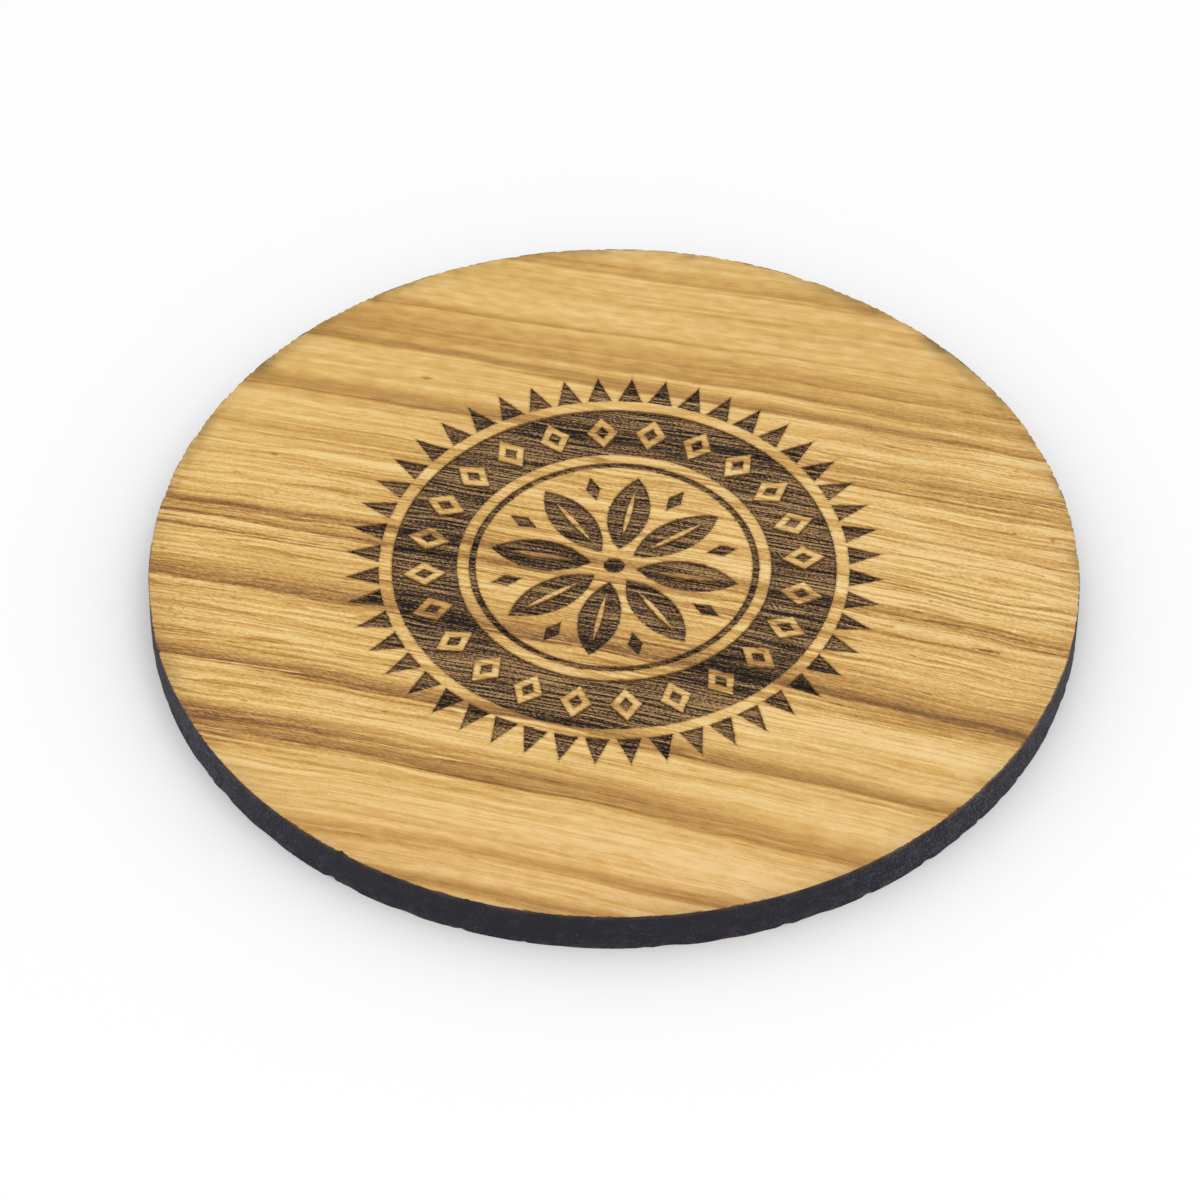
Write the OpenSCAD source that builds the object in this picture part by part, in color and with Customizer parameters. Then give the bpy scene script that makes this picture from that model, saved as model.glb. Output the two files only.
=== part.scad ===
// Round drink coaster, cut by laser from a veneered fibreboard panel.
// Two oak veneers are glued to a fibreboard core, and an ornament is engraved into the upper one.
// Units are millimetres. The origin is the middle of the underside, +Z is up,
// and the grain of both veneers runs along X.

/* [Panel] */
// Diameter of the finished disc
disc_d = 100; // [80:1:120]
// Thickness of the face veneer
face_veneer_t = 0.6; // [0.5:0.1:1.2]
// Thickness of each cured glue line
glue_line_t = 0.1; // [0.05:0.05:0.2]
// Thickness of the fibreboard core
core_t = 3.5; // [2.5:0.1:6]
// Thickness of the back veneer
back_veneer_t = 0.6; // [0.5:0.1:1.2]

/* [Engraving] */
// Depth of the burnt recesses in the face veneer
engrave_depth = 0.3; // [0.1:0.05:0.4]
// Diameter of the spot in the middle
spot_d = 2.2; // [1:0.1:4]
// Bare wood between the spot and the petals
petal_gap = 1.4; // [0.6:0.1:2.5]
// Number of petals
petal_count = 8; // [5:1:9]
// Length of a petal
petal_len = 11; // [8:0.5:13]
// Width of a petal at its middle
petal_w = 4.4; // [2:0.1:4.8]
// Length of the bare vein left standing in a petal
vein_len = 6.8; // [4:0.2:7.4]
// Width of the bare vein at its middle
vein_w = 0.6; // [0.3:0.1:1]
// Length of the seed between two petals
seed_len = 3.4; // [2:0.1:4]
// Width of the seed between two petals
seed_w = 1.6; // [0.8:0.1:2]
// Bare wood between the petals and the thin ring
thin_ring_gap = 1.4; // [0.6:0.1:2.5]
// Width of the thin ring
thin_ring_w = 0.7; // [0.4:0.1:1.5]
// Bare wood between the thin ring and the band
band_gap = 1.3; // [0.6:0.1:2.5]
// Width of the band
band_w = 7; // [5:0.5:9]
// Number of lozenges left standing in the band
lozenge_count = 24; // [12:1:28]
// Width of a lozenge across the band's run
lozenge_w = 3.4; // [2:0.1:3.8]
// Burnt wood between a lozenge's points and the band's edges
lozenge_margin = 1.2; // [0.6:0.1:1.8]
// Bare wood between the band and the teeth
tooth_gap = 1.4; // [0.6:0.1:2.5]
// Number of teeth round the band
tooth_count = 48; // [24:1:52]
// Length of a tooth
tooth_len = 3.6; // [2:0.1:5]
// Width of a tooth at its base
tooth_w = 2.6; // [1.2:0.1:2.8]

/* [Hidden] */
$fn = 96;

// How far a cutter runs past the face that it opens
overrun = 0.5;
// Size of the burnt eye inside a lozenge, as a share of the lozenge
lozenge_eye_share = 0.42;

// Heights of the layers, from the underside up
back_glue_z = back_veneer_t;
core_z = back_glue_z + glue_line_t;
face_glue_z = core_z + core_t;
face_veneer_z = face_glue_z + glue_line_t;
top_z = face_veneer_z + face_veneer_t;

// Radii of the ornament, from the middle out
petal_in_r = spot_d / 2 + petal_gap;
petal_out_r = petal_in_r + petal_len;
thin_ring_in_r = petal_out_r + thin_ring_gap;
thin_ring_out_r = thin_ring_in_r + thin_ring_w;
band_in_r = thin_ring_out_r + band_gap;
band_out_r = band_in_r + band_w;
band_mid_r = (band_in_r + band_out_r) / 2;
tooth_in_r = band_out_r + tooth_gap;
tooth_out_r = tooth_in_r + tooth_len;
lozenge_len = band_w - 2 * lozenge_margin;

oak = "#D2A968";
dried_glue = "#C9B58C";
charred_board = "#35313A";

// One layer of the panel, cut to the outline of the disc
module layer(z, thickness) {
    translate([0, 0, z]) cylinder(h = thickness, d = disc_d);
}

// Copies of a flat shape that lies along +X, turned about the middle
module around(count, first_turn = 0) {
    for (i = [0 : count - 1]) rotate(first_turn + i * 360 / count) children();
}

// Flat ring between two radii
module ring(in_r, out_r) {
    difference() {
        circle(r = out_r);
        circle(r = in_r);
    }
}

// Pointed leaf between two arcs, along X and centred on x
module leaf(x, length, width) {
    arc_r = (length * length + width * width) / (4 * width);
    arc_shift = arc_r - width / 2;
    translate([x, 0]) intersection() {
        translate([0, arc_shift]) circle(r = arc_r);
        translate([0, -arc_shift]) circle(r = arc_r);
    }
}

// Four-pointed lozenge, its length along X and centred on x
module lozenge(x, length, width) {
    translate([x, 0]) polygon([
        [length / 2, 0], [0, width / 2],
        [-length / 2, 0], [0, -width / 2]
    ]);
}

// Petals with a bare vein, a seed between each two, and a spot in the middle
module rosette() {
    circle(d = spot_d);
    around(petal_count) difference() {
        leaf((petal_in_r + petal_out_r) / 2, petal_len, petal_w);
        leaf((petal_in_r + petal_out_r) / 2, vein_len, vein_w);
    }
    around(petal_count, 180 / petal_count)
        lozenge(petal_out_r - seed_len / 2, seed_len, seed_w);
}

// Broad band in which lozenges stay bare, each with a burnt eye
module lozenge_band() {
    difference() {
        ring(band_in_r, band_out_r);
        around(lozenge_count) lozenge(band_mid_r, lozenge_len, lozenge_w);
    }
    around(lozenge_count)
        lozenge(band_mid_r, lozenge_len * lozenge_eye_share, lozenge_w * lozenge_eye_share);
}

// Pointed teeth that stand outwards round the band
module teeth() {
    around(tooth_count) polygon([
        [tooth_in_r, -tooth_w / 2], [tooth_out_r, 0], [tooth_in_r, tooth_w / 2]
    ]);
}

// All that the laser burns away from the face
module engraving() {
    translate([0, 0, top_z - engrave_depth]) linear_extrude(height = engrave_depth + overrun) {
        rosette();
        ring(thin_ring_in_r, thin_ring_out_r);
        lozenge_band();
        teeth();
    }
}

module face_veneer() {
    color(oak) difference() {
        layer(face_veneer_z, face_veneer_t);
        engraving();
    }
}

module face_glue_line() {
    color(dried_glue) layer(face_glue_z, glue_line_t);
}

module core_board() {
    color(charred_board) layer(core_z, core_t);
}

module back_glue_line() {
    color(dried_glue) layer(back_glue_z, glue_line_t);
}

module back_veneer() {
    color(oak) layer(0, back_veneer_t);
}

face_veneer();
face_glue_line();
core_board();
back_glue_line();
back_veneer();
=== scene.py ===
"""Looks of the round drink coaster: oak veneer with a burnt ornament, on a board with a charred edge.

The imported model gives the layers' places. Sizes below are in millimetres unless a name says otherwise.
"""
import math
import random

import bmesh
import bpy
from mathutils import Matrix, Vector


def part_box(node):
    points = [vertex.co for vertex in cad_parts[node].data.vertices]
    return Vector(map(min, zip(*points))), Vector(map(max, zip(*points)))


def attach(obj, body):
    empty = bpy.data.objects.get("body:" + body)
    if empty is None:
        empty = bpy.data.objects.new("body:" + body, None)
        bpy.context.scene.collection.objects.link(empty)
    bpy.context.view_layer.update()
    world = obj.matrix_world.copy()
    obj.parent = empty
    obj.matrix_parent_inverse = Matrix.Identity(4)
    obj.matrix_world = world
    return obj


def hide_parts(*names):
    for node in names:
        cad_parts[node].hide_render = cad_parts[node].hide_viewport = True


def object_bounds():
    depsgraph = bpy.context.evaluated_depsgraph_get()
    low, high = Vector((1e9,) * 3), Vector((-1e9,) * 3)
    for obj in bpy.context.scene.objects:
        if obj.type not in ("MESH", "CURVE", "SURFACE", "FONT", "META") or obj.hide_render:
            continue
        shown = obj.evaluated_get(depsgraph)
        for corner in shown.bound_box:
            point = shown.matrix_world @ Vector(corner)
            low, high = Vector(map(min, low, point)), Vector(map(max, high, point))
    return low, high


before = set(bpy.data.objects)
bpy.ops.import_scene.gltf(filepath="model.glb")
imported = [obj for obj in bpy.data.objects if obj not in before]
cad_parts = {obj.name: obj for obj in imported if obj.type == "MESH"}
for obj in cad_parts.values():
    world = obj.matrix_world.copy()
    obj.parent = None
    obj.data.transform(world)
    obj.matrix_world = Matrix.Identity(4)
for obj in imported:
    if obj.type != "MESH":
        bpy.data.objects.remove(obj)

CAD_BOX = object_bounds()
MM = 0.001
LAYERS = ("face_veneer", "face_glue_line", "core_board", "back_glue_line", "back_veneer")
LOW = {name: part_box(name)[0].z / MM for name in LAYERS}
HIGH = {name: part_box(name)[1].z / MM for name in LAYERS}
DISC_R = min(-CAD_BOX[0].x, -CAD_BOX[0].y, CAD_BOX[1].x, CAD_BOX[1].y) / MM
FACE_Z = HIGH["face_veneer"]

# Ornament, as it is in the model's face veneer. A gap is the bare wood inside a ring of shapes.
BURN_DEPTH = 0.3
SPOT_R = 1.1
PETALS = 8
PETAL_GAP = 1.4
PETAL_LEN = 11.0
PETAL_W = 4.4
PETAL_IN = SPOT_R + PETAL_GAP
PETAL_MID = PETAL_IN + PETAL_LEN / 2
PETAL_OUT = PETAL_IN + PETAL_LEN
VEIN_LEN = 6.8
VEIN_W = 0.6
SEED_LEN = 3.4
SEED_W = 1.6
SEED_MID = PETAL_OUT - SEED_LEN / 2
THIN_RING_GAP = 1.4
THIN_RING_W = 0.7
THIN_RING_IN = PETAL_OUT + THIN_RING_GAP
THIN_RING_OUT = THIN_RING_IN + THIN_RING_W
BAND_GAP = 1.3
BAND_W = 7.0
BAND_IN = THIN_RING_OUT + BAND_GAP
BAND_OUT = BAND_IN + BAND_W
BAND_MID = (BAND_IN + BAND_OUT) / 2
LOZENGES = 24
LOZENGE_MARGIN = 1.2
LOZENGE_LEN = BAND_W - 2 * LOZENGE_MARGIN
LOZENGE_W = 3.4
EYE_SHARE = 0.42
EYE_LEN = LOZENGE_LEN * EYE_SHARE
EYE_W = LOZENGE_W * EYE_SHARE
TEETH = 48
TOOTH_GAP = 1.4
TOOTH_IN = BAND_OUT + TOOTH_GAP
TOOTH_LEN = 3.6
TOOTH_W = 2.6

# Burning tools: prisms from the recess floor to above the face, and the sides of the round ones
OVERRUN = 0.5
TOOL_LOW = FACE_Z - BURN_DEPTH
TOOL_TALL = BURN_DEPTH + OVERRUN
TOOL_Z = TOOL_LOW + TOOL_TALL / 2
SPOT_SIDES = 48
RING_SIDES = 320
LEAST_LEAF_SIDES = 96

# The laser's cut line round the disc
SCALLOPS = 320
SCALLOP_POINTS = 8
FAR_SCALLOP_DEPTHS = (0.01, 0.04, 0.08, 0.12)
NEAR_SCALLOP_DEPTHS = (0.004, 0.008, 0.014)
SCALLOP_SEED = 7

# Rows of edges in the core's side
CORE_ROWS = 5

# Dents along the rims: how many, and between which depths and reaches
UPPER_DENTS = 70
UPPER_DENT_DEPTHS = (0.01, 0.07)
UPPER_DENT_REACHES = (0.7, 2.2)
LOWER_DENTS = 90
LOWER_DENT_DEPTHS = (0.02, 0.12)
LOWER_DENT_REACHES = (0.8, 2.6)
DENT_SEED = 11

# Nicks in the rims: turn in degrees, upper or lower rim, depth and reach
NICKS = (
    (-112.8, "upper", 0.34, 0.42),
    (-112.2, "upper", 0.18, 0.60),
    (-96.0, "upper", 0.12, 0.50),
    (-33.0, "upper", 0.15, 0.50),
    (-62.0, "upper", 0.10, 0.40),
    (-153.6, "upper", 0.16, 0.35),
    (-138.5, "upper", 0.16, 0.35),
    (-137.1, "upper", 0.12, 0.30),
    (-12.6, "upper", 0.12, 0.40),
    (62.0, "upper", 0.14, 1.20),
    (-114.5, "lower", 0.30, 0.80),
    (-136.3, "lower", 0.14, 0.60),
    (-96.9, "lower", 0.16, 0.70),
    (-89.2, "lower", 0.10, 0.50),
    (-58.0, "lower", 0.22, 1.10),
    (-47.0, "lower", 0.18, 0.80),
    (-38.0, "lower", 0.20, 0.90),
    (-28.8, "lower", 0.16, 0.60),
    (-20.2, "lower", 0.12, 0.50),
)

# Camera of the photograph: its turn, rise and roll, the place that it looks at, its distance and its lens
VIEW_TURN = math.radians(11.4)
VIEW_RISE = math.radians(46.08)
VIEW_ROLL = math.radians(0.19)
VIEW_AIM = (-0.455, -5.356, 4.9)
VIEW_DISTANCE = 646.9
VIEW_LENS = 181.6
VIEW_SENSOR = 36.0

# Studio: a softbox, the world's light on the object, and a floor just under the disc
SOFTBOX_PLACE_M = (0.25, -0.35, 1.25)
SOFTBOX_SIZE_M = 1.2
SOFTBOX_WATTS = 4.7
WORLD_LIGHT = 0.82
FLOOR_SIZE_M = 4.0
FLOOR_DROP = 0.02

# Tests on faces: heights closer than this count as one, how near the outline the cut edge lies, and how
# far a normal rises at most on an upright face and at least on a level one
TOUCH = 0.01
EDGE_REACH = 0.5
UPRIGHT = 0.7
LEVEL = 0.9

# Edges that turn less than this are shaded smooth
SMOOTH_BELOW = math.radians(40)

# Depth of each finish's relief
OAK_RELIEF = 0.006
BURNT_RELIEF = 0.08
WALL_RELIEF = 0.05
CHAR_RELIEF = 0.04
BOARD_RELIEF = 0.03

# Along the burnt edges, by the distance from them, which is less than 0 inside: where the brown halo starts
# and is full, and the same for the burn itself, its painted shade along the walls and the fibres that it
# spared
HALO = (0.32, 0.0)
BURN_BORDER = (0.05, -0.03)
BURN_WALL_SHADE = (-0.30, -0.08)
SPARED_FIBRES = (-0.7, -0.05)

# Along the cut, by the distance inside it: where each stain starts and is full
WIDE_STAIN = (4.0, 0.8)
CLOUD_STAIN = (1.8, 0.1)
SMOKE_STAIN = (2.4, 0.2)
DARK_FRINGE = (0.16, 0.0)

# Char of the cut edge: it grows paler below one height, which is painted light from the bright floor, is
# fully warm down to a depth under the face, and has a warm line of one height along the underside. Along X it
# is calmest at one place, most mottled at a reach from there, and grows lighter between two places.
CHAR_FLOOR_LIGHT_BELOW = 2.4
CHAR_WARM_TOP = 0.2
CHAR_WARM_LINE = 0.35
CHAR_CALM_X = 3.0
CHAR_CALM_REACH = 42.0
CHAR_LIGHT_X = (28.0, 46.0)

# Steps through the noise, to other wood: for the second sheet of veneer, and for a second set of ribs
SHEET_FIGURE_STEP = (137.0, 71.0, 0.0)
SHEET_STREAK_STEP = (53.0, 97.0, 0.0)
NARROW_RIB_STEP = (61.0, 23.0, 0.0)
BURNT_RIB_STEP = (29.0, 41.0, 0.0)

# Where the photograph shows the grain softly: both zones lie turned on the face, and each has a first and a
# last line, measured from the middle, and a share of crispness that is left past the last one
FOCUS_TURN = math.radians(15.4)
FAR_SOFT = (10.0, 33.5)
FAR_CRISPNESS = 0.12
NEAR_SOFT = (-14.0, -38.5)
NEAR_CRISPNESS = 0.32

# Growth bands change from their left end to their right end, this far from the middle, and each one fades
# between these shares of its fade
BAND_END = 42.0
FADE_SHARES = (0.85, 0.15)

# Growth bands of the face: middle at the left and right end, fade above and below it, and
# darkness at the left and right end, which is less than 0 for pale ones
FACE_BANDS = (
    (45.9, 45.1, 2.2, 1.8, 0.22, 0.26),
    (41.8, 41.2, 3.4, 3.4, 0.08, 0.10),
    (35.5, 35.3, 0.9, 0.8, 0.28, 0.20),
    (34.0, 33.6, 1.8, 1.8, 0.00, 0.15),
    (32.4, 32.2, 2.3, 4.6, 0.29, 0.19),
    (31.6, 32.2, 0.9, 0.6, 0.00, 0.24),
    (29.8, 29.4, 1.3, 1.1, 0.24, 0.24),
    (28.4, 26.4, 1.6, 1.4, 0.60, 0.32),
    (25.4, 24.4, 0.9, 0.9, -0.12, 0.06),
    (19.9, 19.6, 2.4, 2.0, 0.34, 0.12),
    (19.4, 20.1, 0.9, 0.6, 0.12, 0.30),
    (18.2, 18.4, 1.0, 0.9, 0.14, 0.16),
    (16.4, 16.4, 0.8, 0.8, 0.00, -0.18),
    (12.9, 13.7, 0.9, 0.8, 0.16, -0.18),
    (11.8, 11.8, 0.7, 0.6, 0.00, 0.28),
    (9.1, 9.0, 0.9, 0.8, -0.14, -0.14),
    (7.9, 7.9, 0.6, 0.5, 0.00, 0.22),
    (5.2, 5.2, 0.6, 0.5, 0.05, 0.20),
    (3.8, 3.8, 0.6, 0.5, 0.00, 0.24),
    (-0.1, 0.9, 1.0, 2.2, 0.55, 0.42),
    (-2.5, -2.2, 1.0, 0.8, 0.65, 0.18),
    (-4.0, -3.5, 0.8, 0.6, 0.40, 0.15),
    (-9.0, -9.0, 2.4, 2.6, 0.00, 0.22),
    (-11.6, -12.5, 4.6, 1.6, 0.40, 0.44),
    (-11.6, -12.6, 1.6, 1.0, 0.24, 0.22),
    (-13.6, -13.8, 1.5, 1.6, 0.00, 0.34),
    (-19.0, -18.4, 3.0, 3.0, 0.00, -0.16),
    (-19.7, -19.7, 0.6, 0.6, 0.28, 0.05),
    (-22.8, -25.1, 2.2, 1.6, 0.50, 0.35),
    (-23.0, -25.2, 0.7, 0.5, 0.15, 0.10),
    (-29.2, -29.2, 1.5, 1.5, 0.00, -0.12),
    (-30.0, -30.0, 1.4, 0.9, 0.42, -0.10),
    (-30.9, -30.9, 1.8, 2.2, 0.40, -0.05),
    (-30.9, -33.0, 1.0, 0.8, 0.38, 0.05),
    (-32.9, -33.4, 2.9, 2.0, 0.44, 0.20),
    (-33.0, -33.8, 0.9, 0.6, 0.36, 0.14),
    (-38.8, -38.4, 3.2, 3.2, -0.09, -0.09),
    (-44.4, -43.0, 1.8, 1.4, 0.26, 0.31),
    (-48.9, -48.3, 1.3, 1.3, 0.35, 0.30),
)

# Short flaws in the face: middle along X and Y, length, width, and darkness, which is less
# than 0 for pale ones
FLAWS = (
    (41.3, -4.4, 3.8, 0.50, 0.75),
    (40.4, 13.3, 3.4, 0.40, 0.30),
    (41.4, 13.4, 0.7, 0.50, 0.40),
    (45.6, 13.2, 0.8, 0.50, 0.45),
    (34.2, 1.6, 0.7, 0.50, 0.45),
    (44.6, -15.6, 1.5, 0.50, 0.40),
    (-28.6, -32.0, 3.2, 0.55, 0.35),
    (-39.8, 9.2, 1.1, 0.60, 0.40),
    (-43.2, 5.6, 1.3, 0.50, 0.32),
    (-42.1, -1.3, 1.7, 0.40, 0.30),
    (-26.1, 24.2, 1.8, 0.60, 0.45),
    (-4.7, 15.6, 2.2, 0.70, 0.40),
    # This pale fleck is a painted glint
    (43.6, -1.0, 0.5, 0.35, -1.20),
    (-34.0, -33.6, 3.4, 0.60, -0.30),
    (41.1, -17.6, 3.0, 0.80, -0.15),
)

# Smoke stains on the rim: turn in degrees, reach along the rim, and depth of colour
RIM_STAINS = (
    (52.0, 9.0, 0.34),
    (70.0, 8.0, 0.34),
    (150.0, 9.0, 0.25),
    (-152.0, 9.0, 0.20),
    (-90.0, 6.0, 0.10),
)

# Dirt at the left rim: its middle, and where it starts and is fully there, measured from the middle
DIRT_MIDDLE = (-46.5, -15.0)
DIRT_REACH = (11.0, 2.0)

# Along Y on the face: where the rim's clouds go from few to all, and where the near wood turns a little rosy
CLOUDED_Y = (-14.0, 12.0)
ROSY_Y = (-28.0, -44.0)

# Growth bands of the back, which the photograph doesn't show
BACK_BANDS = (
    (43.0, 42.0, 1.6, 0.9, 0.30, 0.40),
    (34.5, 36.0, 2.6, 1.0, 0.45, 0.35),
    (26.0, 27.0, 1.0, 0.6, 0.25, 0.35),
    (17.5, 16.0, 3.4, 1.2, 0.50, 0.55),
    (9.0, 8.5, 0.8, 0.6, 0.30, 0.20),
    (2.0, 3.0, 1.2, 0.8, 0.35, 0.45),
    (-7.0, -6.0, 2.8, 1.0, 0.45, 0.50),
    (-15.5, -14.0, 0.9, 0.6, 0.35, 0.25),
    (-21.0, -22.0, 2.0, 1.1, 0.50, 0.40),
    (-31.0, -30.0, 1.4, 0.8, 0.30, 0.50),
    (-39.0, -40.0, 3.0, 1.2, 0.50, 0.40),
)


def tint(hex_colour):
    """A colour written as on a screen, as the linear colour that a shader takes."""
    parts = [int(hex_colour[i:i + 2], 16) / 255 for i in (1, 3, 5)]
    linear = [p / 12.92 if p <= 0.04045 else ((p + 0.055) / 1.055) ** 2.4 for p in parts]
    return (*linear, 1.0)


def polar(radius, angle):
    return Vector((radius * math.cos(angle), radius * math.sin(angle), 0))


# Hand tools for the modelling


def choose(piece):
    """Makes one piece the active one, with no other selected."""
    bpy.ops.object.select_all(action="DESELECT")
    bpy.context.view_layer.objects.active = piece
    piece.select_set(True)


def open_piece(piece, select="VERT"):
    """Opens one piece in edit mode with nothing picked."""
    choose(piece)
    bpy.ops.object.mode_set(mode="EDIT")
    bpy.ops.mesh.select_mode(type=select)
    bpy.ops.mesh.select_all(action="DESELECT")


def close_piece():
    bpy.ops.object.mode_set(mode="OBJECT")


def pick(piece, kind, test):
    """Picks the vertices, edges or faces of the open piece that pass a test, and no others."""
    bpy.ops.mesh.select_all(action="DESELECT")
    mesh = bmesh.from_edit_mesh(piece.data)
    for part in getattr(mesh, kind):
        if test(part):
            part.select_set(True)
    mesh.select_flush_mode()
    bmesh.update_edit_mesh(piece.data)


def settle(piece):
    """Applies a piece's place, turn and scale to its mesh."""
    choose(piece)
    bpy.ops.object.transform_apply(location=True, rotation=True, scale=True)


def copy_of(piece, name, turn=0.0):
    """A copy with its own mesh, turned about the middle of the disc."""
    twin = piece.copy()
    twin.data = piece.data.copy()
    twin.name = name
    twin.data.transform(Matrix.Rotation(turn, 4, "Z"))
    bpy.context.scene.collection.objects.link(twin)
    return twin


def join(pieces, name):
    bpy.ops.object.select_all(action="DESELECT")
    for piece in pieces:
        piece.select_set(True)
    bpy.context.view_layer.objects.active = pieces[0]
    bpy.ops.object.join()
    pieces[0].name = name
    return pieces[0]


def carve(piece, tool, operation):
    """Cuts a piece with a tool piece, which is used up."""
    choose(piece)
    cut = piece.modifiers.new("cut", "BOOLEAN")
    cut.operation = operation
    cut.solver = "EXACT"
    cut.object = tool
    bpy.ops.object.modifier_apply(modifier=cut.name)
    bpy.data.objects.remove(tool)
    return piece


def turned_copies(piece, count, first_turn=0.0):
    """The piece and its copies, evenly round the disc."""
    step = 2 * math.pi / count
    twins = [copy_of(piece, piece.name, first_turn + i * step) for i in range(count)]
    bpy.data.objects.remove(piece)
    return twins


# Burning tools, in the ornament's shapes


def round_tool(radius, sides, place=(0, 0), name="burn_tool"):
    bpy.ops.mesh.primitive_cylinder_add(
        vertices=sides, radius=radius * MM, depth=TOOL_TALL * MM,
        location=(place[0] * MM, place[1] * MM, TOOL_Z * MM))
    tool = bpy.context.object
    tool.name = name
    settle(tool)
    return tool


def leaf_tool(length, width, middle):
    """Pointed leaf between two arcs, lying along X. Its sides are about 0.2 mm long and come in eights."""
    arc_r = (length ** 2 + width ** 2) / (4 * width)
    shift = arc_r - width / 2
    sides = max(LEAST_LEAF_SIDES, 8 * round(arc_r * 4))
    leaf = round_tool(arc_r, sides, (middle, shift), "leaf_tool")
    return carve(leaf, round_tool(arc_r, sides, (middle, -shift)), "INTERSECT")


def lozenge_tool(length, width, middle):
    """Four-sided prism whose points lie along X and Y."""
    bpy.ops.mesh.primitive_cylinder_add(
        vertices=4, radius=length / 2 * MM, depth=TOOL_TALL * MM, location=(middle * MM, 0, TOOL_Z * MM))
    tool = bpy.context.object
    tool.name = "lozenge_tool"
    open_piece(tool)
    bpy.ops.mesh.select_all(action="SELECT")
    bpy.ops.transform.resize(value=(1, width / length, 1), center_override=(middle * MM, 0, TOOL_Z * MM))
    close_piece()
    settle(tool)
    return tool


def ring_tool(in_r, out_r):
    """A circle's edge, drawn in to the inner radius and raised."""
    bpy.ops.mesh.primitive_circle_add(vertices=RING_SIDES, radius=out_r * MM, location=(0, 0, TOOL_LOW * MM))
    tool = bpy.context.object
    tool.name = "ring_tool"
    settle(tool)
    open_piece(tool, "EDGE")
    bpy.ops.mesh.select_all(action="SELECT")
    bpy.ops.mesh.extrude_edges_move()
    bpy.ops.transform.resize(value=(in_r / out_r, in_r / out_r, 1), center_override=(0, 0, TOOL_LOW * MM))
    bpy.ops.mesh.select_all(action="SELECT")
    bpy.ops.mesh.extrude_region_move(TRANSFORM_OT_translate={"value": (0, 0, TOOL_TALL * MM)})
    bpy.ops.mesh.select_all(action="SELECT")
    bpy.ops.mesh.normals_make_consistent(inside=False)
    close_piece()
    return tool


def tooth_tool():
    """Three-sided prism that points away from the middle, along X."""
    bpy.ops.mesh.primitive_cylinder_add(
        vertices=3, radius=MM, depth=TOOL_TALL * MM, location=(0, 0, TOOL_Z * MM),
        rotation=(0, 0, -math.pi / 2))
    tool = bpy.context.object
    tool.name = "tooth_tool"
    settle(tool)
    back, tip = (min(v.co.x for v in tool.data.vertices), max(v.co.x for v in tool.data.vertices))
    wide = max(v.co.y for v in tool.data.vertices) * 2
    open_piece(tool)
    bpy.ops.mesh.select_all(action="SELECT")
    bpy.ops.transform.translate(value=(-back, 0, 0))
    bpy.ops.transform.resize(
        value=(TOOTH_LEN * MM / (tip - back), TOOTH_W * MM / wide, 1), center_override=(0, 0, TOOL_Z * MM))
    bpy.ops.transform.translate(value=(TOOTH_IN * MM, 0, 0))
    close_piece()
    return tool


def ornament_tools():
    """Every shape that the laser burns into the face, as one tool."""
    spot = round_tool(SPOT_R, SPOT_SIDES)
    petal = leaf_tool(PETAL_LEN, PETAL_W, PETAL_MID)
    carve(petal, leaf_tool(VEIN_LEN, VEIN_W, PETAL_MID), "DIFFERENCE")
    seed = lozenge_tool(SEED_LEN, SEED_W, SEED_MID)
    thin_ring = ring_tool(THIN_RING_IN, THIN_RING_OUT)
    lozenges = turned_copies(lozenge_tool(LOZENGE_LEN, LOZENGE_W, BAND_MID), LOZENGES)
    band = carve(ring_tool(BAND_IN, BAND_OUT), join(lozenges, "lozenges"), "DIFFERENCE")
    eye = lozenge_tool(EYE_LEN, EYE_W, BAND_MID)
    shapes = [spot, thin_ring, band]
    shapes += turned_copies(petal, PETALS)
    shapes += turned_copies(seed, PETALS, math.pi / PETALS)
    shapes += turned_copies(eye, LOZENGES)
    shapes += turned_copies(tooth_tool(), TEETH)
    return join(shapes, "ornament_tool")


# Pieces


def cut_line():
    """The disc's outline as the laser left it: uneven scallops, deeper in the far half than in the near."""
    bpy.ops.mesh.primitive_circle_add(
        vertices=SCALLOPS * SCALLOP_POINTS, radius=DISC_R * MM, location=(0, 0, 0))
    line = bpy.context.object
    line.name = "cut_panel"
    dice = random.Random(SCALLOP_SEED)
    first_points = [line.data.vertices[i * SCALLOP_POINTS].co for i in range(SCALLOPS)]
    depth_of = [dice.choice(FAR_SCALLOP_DEPTHS if co.y > 0 else NEAR_SCALLOP_DEPTHS) for co in first_points]
    open_piece(line)
    for depth in FAR_SCALLOP_DEPTHS + NEAR_SCALLOP_DEPTHS:
        for point in range(1, SCALLOP_POINTS):
            pick(line, "verts", lambda v: v.index % SCALLOP_POINTS == point
                 and depth_of[v.index // SCALLOP_POINTS] == depth)
            drawn_in = 1 - depth * math.sin(math.pi * point / SCALLOP_POINTS) / DISC_R
            bpy.ops.transform.resize(value=(drawn_in, drawn_in, 1), center_override=(0, 0, 0))
    close_piece()
    return line


def push_in(piece, turn, height, depth, reach):
    """Pushes the rim in towards the middle, at one turn in degrees and one height, fading over a reach."""
    rim = polar(DISC_R * MM, math.radians(turn)) + Vector((0, 0, height * MM))
    mesh = bmesh.from_edit_mesh(piece.data)
    nearest = min(mesh.verts, key=lambda v: (v.co - rim).length_squared)
    bpy.ops.mesh.select_all(action="DESELECT")
    nearest.select_set(True)
    mesh.select_flush_mode()
    inwards = polar(-depth * MM, math.radians(turn))
    bpy.ops.transform.translate(
        value=inwards, use_proportional_edit=True, proportional_edit_falloff="SMOOTH",
        proportional_size=reach * MM)


def dent_rim(piece, dice, height, count, depths, reaches):
    """Dents a rim at random turns."""
    for _ in range(count):
        push_in(piece, dice.uniform(0, 360), height, dice.uniform(*depths), dice.uniform(*reaches))


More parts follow.
